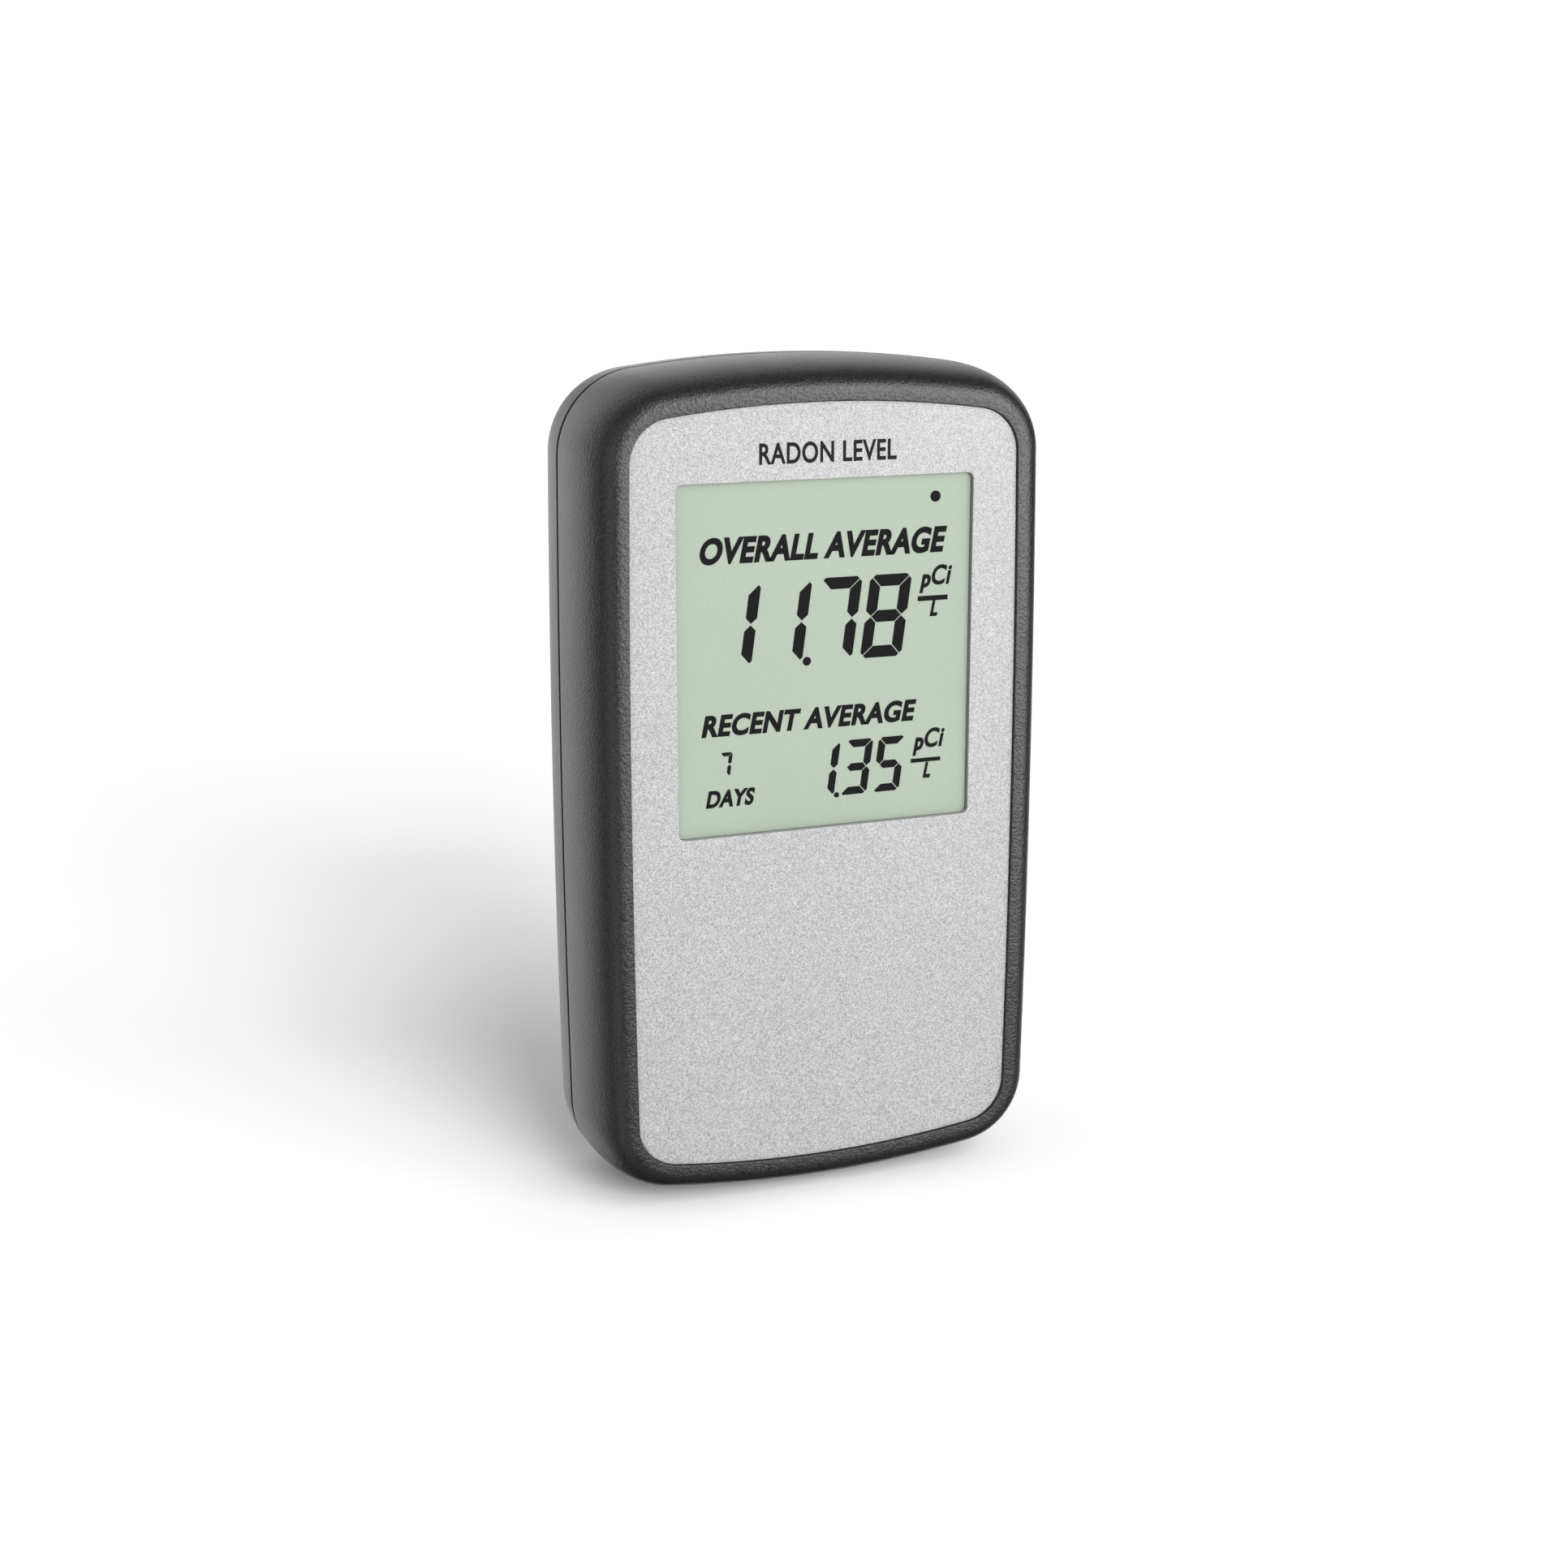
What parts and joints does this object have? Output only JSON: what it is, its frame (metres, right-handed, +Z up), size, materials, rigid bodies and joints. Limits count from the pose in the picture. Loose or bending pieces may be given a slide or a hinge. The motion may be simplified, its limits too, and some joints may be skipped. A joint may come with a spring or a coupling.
{
  "type": "radon monitor",
  "caption": "Palm-sized battery radon gas monitor: rounded dark case, flat silver panel, recessed display of average levels, lift-off battery cover and pin buttons at the back.",
  "frame": {"origin": "middle of the footprint under the lower edge, half-way between the front crest and the flat back", "axes": "+Z up along the case's height, -Y is the way the display faces, +X to the right of a person reading it"},
  "size_m": [0.069, 0.0254, 0.12],
  "materials": {
    "frame_plastic": "satin moulded dark grey plastic with a fine spark texture",
    "shell_plastic": "satin moulded dark grey plastic with a fine spark texture",
    "panel_silver": "satin silver lacquer with fine metallic flake",
    "display_glass": "matte polariser over pale grey-green display glass",
    "display_white": "diffuse reflector sheet",
    "black_plastic": "matte black moulded plastic",
    "board_green": "green solder mask on glass-fibre board",
    "grey_rubber": "soft grey rubber",
    "steel": "nickel-plated steel",
    "capacitor_can": "drawn aluminium can",
    "cell_jacket": "printed foil jacket, left plain",
    "filter_felt": "pressed white felt",
    "label_paper": "blank silver-grey label"
  },
  "bodies": {
    "case": {"front_frame": "frame_plastic", "rear_shell": "shell_plastic", "front_panel": "panel_silver", "lcd_glass": "display_glass", "lcd_reflector": "display_white", "lcd_carrier": "black_plastic", "microcontroller": "black_plastic", "amplifier_chip": "black_plastic", "reset_switch": "black_plastic", "mode_switch": "black_plastic", "chamber_cup": "black_plastic", "photodiode": "black_plastic", "main_board": "board_green", "contact_strip_upper": "grey_rubber", "contact_strip_lower": "grey_rubber", "chamber_gasket": "grey_rubber", "sensor_shield": "steel", "clock_crystal": "steel", "case_screw_1": "steel", "case_screw_2": "steel", "case_screw_3": "steel", "case_screw_4": "steel", "board_screw_1": "steel", "board_screw_2": "steel", "board_screw_3": "steel", "board_screw_4": "steel", "contact_spring_1": "steel", "contact_spring_2": "steel", "contact_spring_3": "steel", "terminal_plate_positive": "steel", "terminal_plate_negative": "steel", "link_plate_left": "steel", "link_plate_right": "steel", "storage_capacitor": "capacitor_can", "battery_1": "cell_jacket", "battery_2": "cell_jacket", "battery_3": "cell_jacket", "inlet_filter": "filter_felt", "blank_label": "label_paper"},
    "battery_cover": {"battery_cover": "shell_plastic"},
    "reset_button": {"reset_button": "grey_rubber"},
    "mode_button": {"mode_button": "grey_rubber"}
  },
  "joints": [
    {"name": "battery_cover_slide", "type": "slide", "parent": "case", "child": "battery_cover", "axis": [0, 1, 0], "range_m": [0, 0.025]},
    {"name": "reset_button_press", "type": "slide", "parent": "case", "child": "reset_button", "axis": [0, -1, 0], "range_m": [0, 0.0005], "stiffness_N_per_m": 1500, "springref_m": -0.0005},
    {"name": "mode_button_press", "type": "slide", "parent": "case", "child": "mode_button", "axis": [0, -1, 0], "range_m": [0, 0.0005], "stiffness_N_per_m": 1500, "springref_m": -0.0005}
  ]
}
